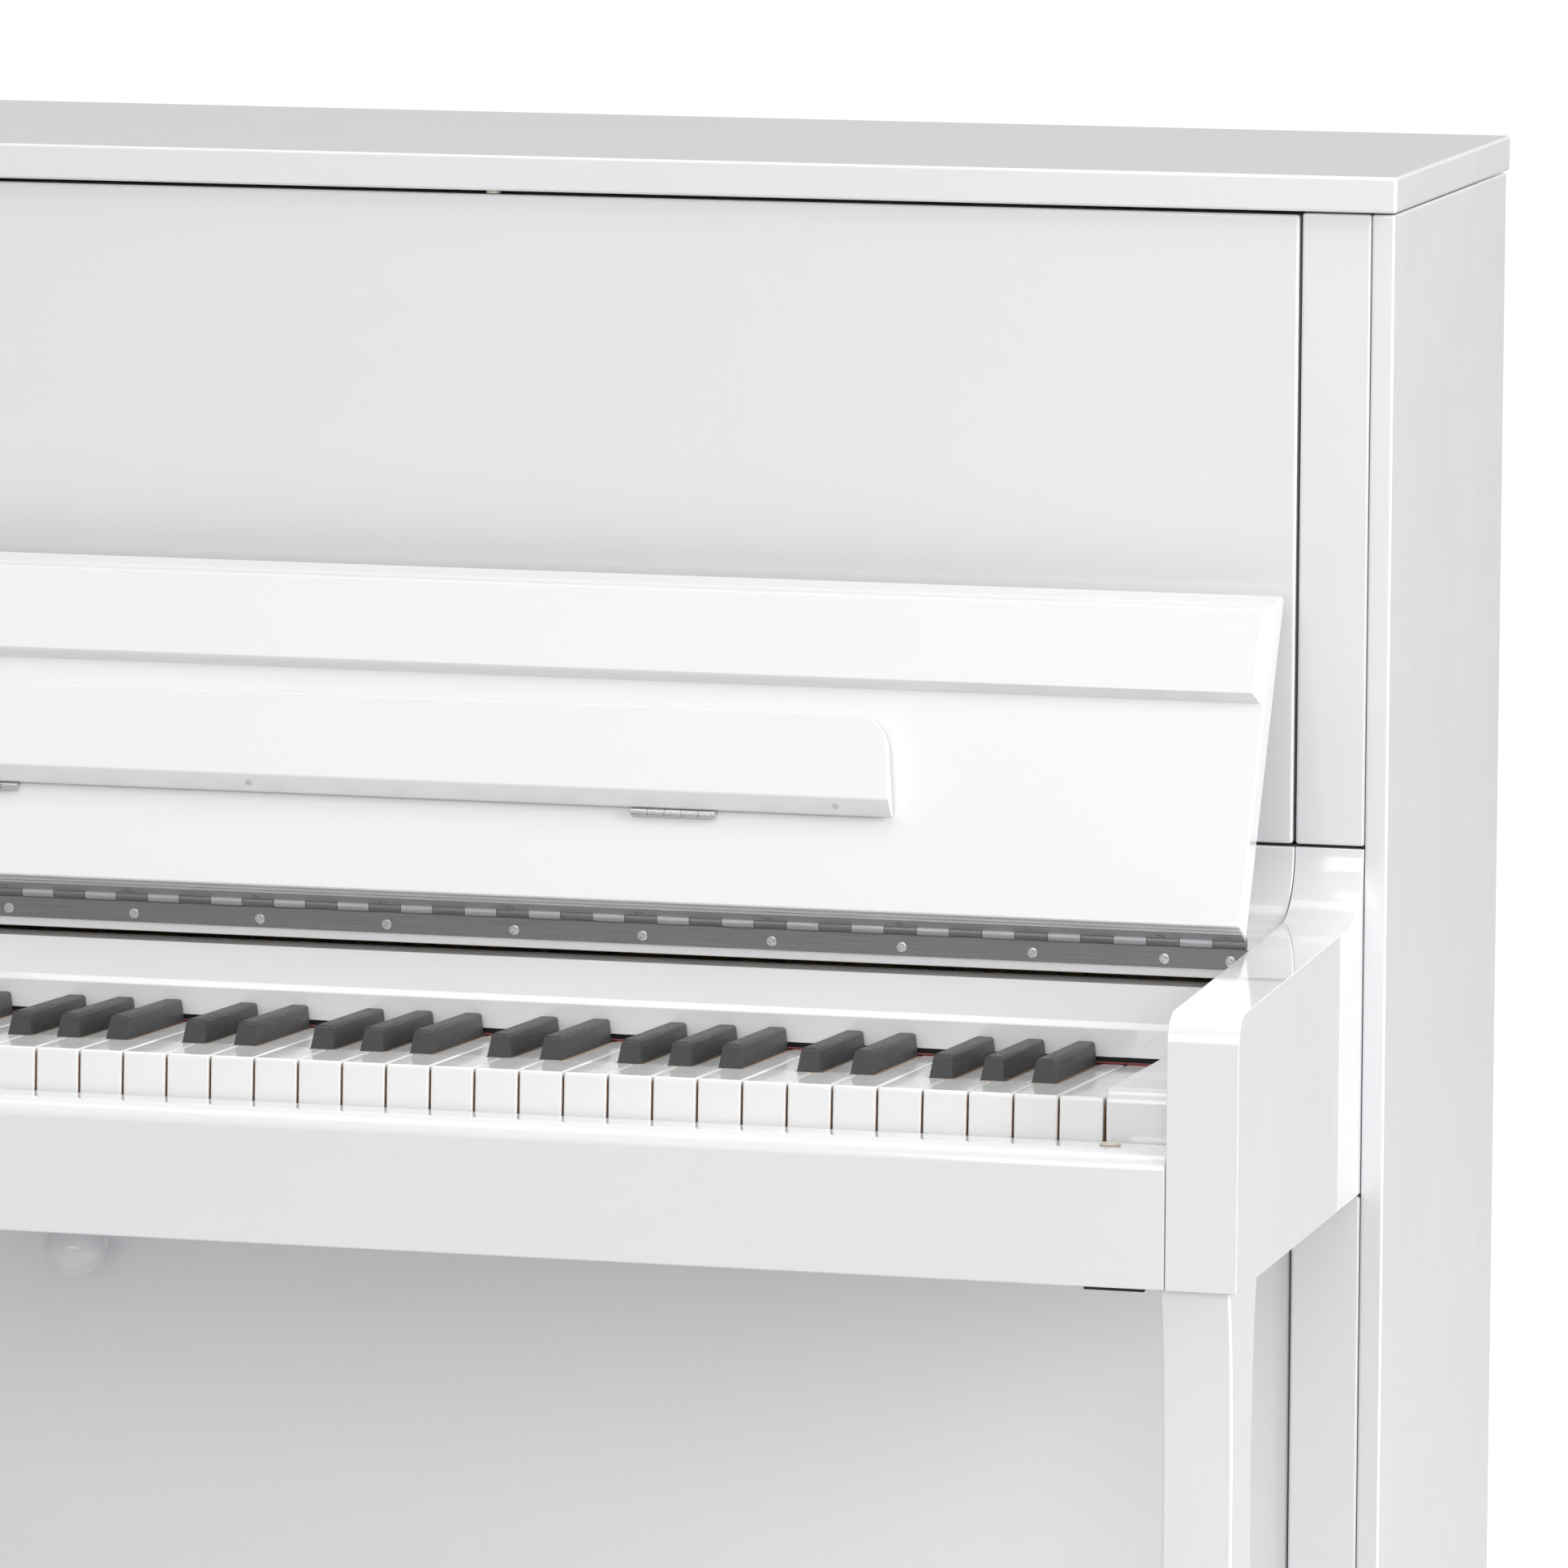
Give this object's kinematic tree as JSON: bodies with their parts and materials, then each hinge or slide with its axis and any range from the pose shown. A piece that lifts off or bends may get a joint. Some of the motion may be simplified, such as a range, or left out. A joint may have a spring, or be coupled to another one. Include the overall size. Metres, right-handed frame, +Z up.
{
  "type": "upright piano",
  "caption": "Upright piano in white gloss lacquer with free-standing legs, a hinged lid, a hinged fallboard with a folding music desk, a full keyboard and foot pedals.",
  "frame": {"origin": "on the floor at the middle of the piano's width and depth", "axes": "+X to the treble end, +Y to the back, +Z up; the player sits at -Y"},
  "size_m": [1.49, 0.6146, 1.18],
  "materials": {
    "lacquer": "gloss",
    "hinge_steel": "satin",
    "satin_aluminium": "satin",
    "chrome": "polished",
    "board": "matte",
    "spruce": "satin",
    "action_wood": "matte",
    "action_alloy": "satin",
    "plate_iron": "satin",
    "string_steel": "bright",
    "white_key": "gloss",
    "black_key": "satin",
    "button_plastic": "gloss",
    "fitting_steel": "satin",
    "wheel_plastic": "matte"
  },
  "bodies": {
    "case": {"side_panel_left": "lacquer", "side_panel_right": "lacquer", "upper_column_left": "lacquer", "upper_column_right": "lacquer", "lower_column_left": "lacquer", "lower_column_right": "lacquer", "arm_left": "lacquer", "arm_right": "lacquer", "leg_left": "lacquer", "leg_right": "lacquer", "toe_block_left": "lacquer", "toe_block_right": "lacquer", "upper_panel": "lacquer", "lower_panel": "lacquer", "bottom_rail": "lacquer", "key_slip": "lacquer", "cheek_block_left": "lacquer", "cheek_block_right": "lacquer", "name_board": "lacquer", "hinge_rail": "lacquer", "lid_hinge_plates": "hinge_steel", "hinge_screws": "hinge_steel", "hinge_lower_leaf": "satin_aluminium", "bottom_board": "board", "key_bed": "board", "back_frame": "spruce", "soundboard": "spruce", "key_frame": "action_wood", "hammers": "action_wood", "action_frame": "action_alloy", "iron_plate": "plate_iron", "strings": "string_steel", "tuning_pins": "string_steel", "white_keys": "white_key", "black_keys": "black_key", "slip_buttons": "button_plastic", "panel_knob": "button_plastic", "pedal_brackets": "fitting_steel", "caster_forks": "fitting_steel"},
    "lid": {"top_lid": "lacquer", "lid_hinge_flaps": "hinge_steel"},
    "fallboard": {"fallboard": "lacquer", "fallboard_strip": "lacquer", "hinge_upper_leaf": "satin_aluminium", "desk_hinge_plates": "hinge_steel"},
    "desk": {"music_desk": "lacquer", "desk_hinge_flaps": "hinge_steel"},
    "key_c5": {"key_c5": "white_key"},
    "key_c_sharp5": {"key_c_sharp5": "black_key"},
    "key_d5": {"key_d5": "white_key"},
    "key_d_sharp5": {"key_d_sharp5": "black_key"},
    "key_e5": {"key_e5": "white_key"},
    "pedal_left": {"pedal_left": "chrome"},
    "pedal_middle": {"pedal_middle": "chrome"},
    "pedal_right": {"pedal_right": "chrome"},
    "damper_rod": {"damper_rod": "fitting_steel"},
    "wheel_front_left": {"wheel_front_left": "wheel_plastic"},
    "wheel_front_right": {"wheel_front_right": "wheel_plastic"},
    "wheel_back_left": {"wheel_back_left": "wheel_plastic"},
    "wheel_back_right": {"wheel_back_right": "wheel_plastic"}
  },
  "joints": [
    {"name": "lid_hinge", "type": "hinge", "parent": "case", "child": "lid", "pos_m": [0, 0.3044, 1.1604], "axis": [-1, 0, 0], "range_deg": [0, 98]},
    {"name": "fallboard_hinge", "type": "hinge", "parent": "case", "child": "fallboard", "pos_m": [0, -0.1093, 0.79], "axis": [1, 0, 0], "range_deg": [0, 117]},
    {"name": "desk_hinge", "type": "hinge", "parent": "fallboard", "child": "desk", "pos_m": [0, -0.10843, 0.84567], "axis": [-1, 0, 0], "range_deg": [-95, 0]},
    {"name": "key_c5_pivot", "type": "hinge", "parent": "case", "child": "key_c5", "pos_m": [0, -0.0633, 0.70524], "axis": [1, 0, 0], "range_deg": [0, 2.66], "stiffness_Nm_per_rad": 1, "springref_deg": -8.02},
    {"name": "key_c_sharp5_pivot", "type": "hinge", "parent": "case", "child": "key_c_sharp5", "pos_m": [0, -0.0633, 0.70524], "axis": [1, 0, 0], "range_deg": [0, 2.66], "stiffness_Nm_per_rad": 1, "springref_deg": -8.02},
    {"name": "key_d5_pivot", "type": "hinge", "parent": "case", "child": "key_d5", "pos_m": [0, -0.0633, 0.70524], "axis": [1, 0, 0], "range_deg": [0, 2.66], "stiffness_Nm_per_rad": 1, "springref_deg": -8.02},
    {"name": "key_d_sharp5_pivot", "type": "hinge", "parent": "case", "child": "key_d_sharp5", "pos_m": [0, -0.0633, 0.70524], "axis": [1, 0, 0], "range_deg": [0, 2.66], "stiffness_Nm_per_rad": 1, "springref_deg": -8.02},
    {"name": "key_e5_pivot", "type": "hinge", "parent": "case", "child": "key_e5", "pos_m": [0, -0.0633, 0.70524], "axis": [1, 0, 0], "range_deg": [0, 2.66], "stiffness_Nm_per_rad": 1, "springref_deg": -8.02},
    {"name": "pedal_left_pivot", "type": "hinge", "parent": "case", "child": "pedal_left", "pos_m": [-0.078, 0.0907, 0.0735], "axis": [1, 0, 0], "range_deg": [0, 5.7], "stiffness_Nm_per_rad": 20, "springref_deg": -8.59},
    {"name": "pedal_middle_pivot", "type": "hinge", "parent": "case", "child": "pedal_middle", "pos_m": [0, 0.0907, 0.0735], "axis": [1, 0, 0], "range_deg": [0, 5.7], "stiffness_Nm_per_rad": 20, "springref_deg": -8.59},
    {"name": "pedal_right_pivot", "type": "hinge", "parent": "case", "child": "pedal_right", "pos_m": [0.078, 0.0907, 0.0735], "axis": [1, 0, 0], "range_deg": [0, 5.7], "stiffness_Nm_per_rad": 20, "springref_deg": -8.59},
    {"name": "damper_rod_slide", "type": "slide", "parent": "case", "child": "damper_rod", "axis": [0, 0, 1], "range_m": [0, 0.005]},
    {"name": "wheel_front_left_axle", "type": "hinge", "parent": "case", "child": "wheel_front_left", "pos_m": [-0.7085, -0.2373, 0.017], "axis": [1, 0, 0], "continuous": true},
    {"name": "wheel_front_right_axle", "type": "hinge", "parent": "case", "child": "wheel_front_right", "pos_m": [0.7085, -0.2373, 0.017], "axis": [1, 0, 0], "continuous": true},
    {"name": "wheel_back_left_axle", "type": "hinge", "parent": "case", "child": "wheel_back_left", "pos_m": [-0.6485, 0.2527, 0.017], "axis": [1, 0, 0], "continuous": true},
    {"name": "wheel_back_right_axle", "type": "hinge", "parent": "case", "child": "wheel_back_right", "pos_m": [0.6485, 0.2527, 0.017], "axis": [1, 0, 0], "continuous": true}
  ],
  "couplings": [
    {"joint": "damper_rod_slide", "follows": "pedal_right_pivot", "m_per_rad": 0.048}
  ]
}
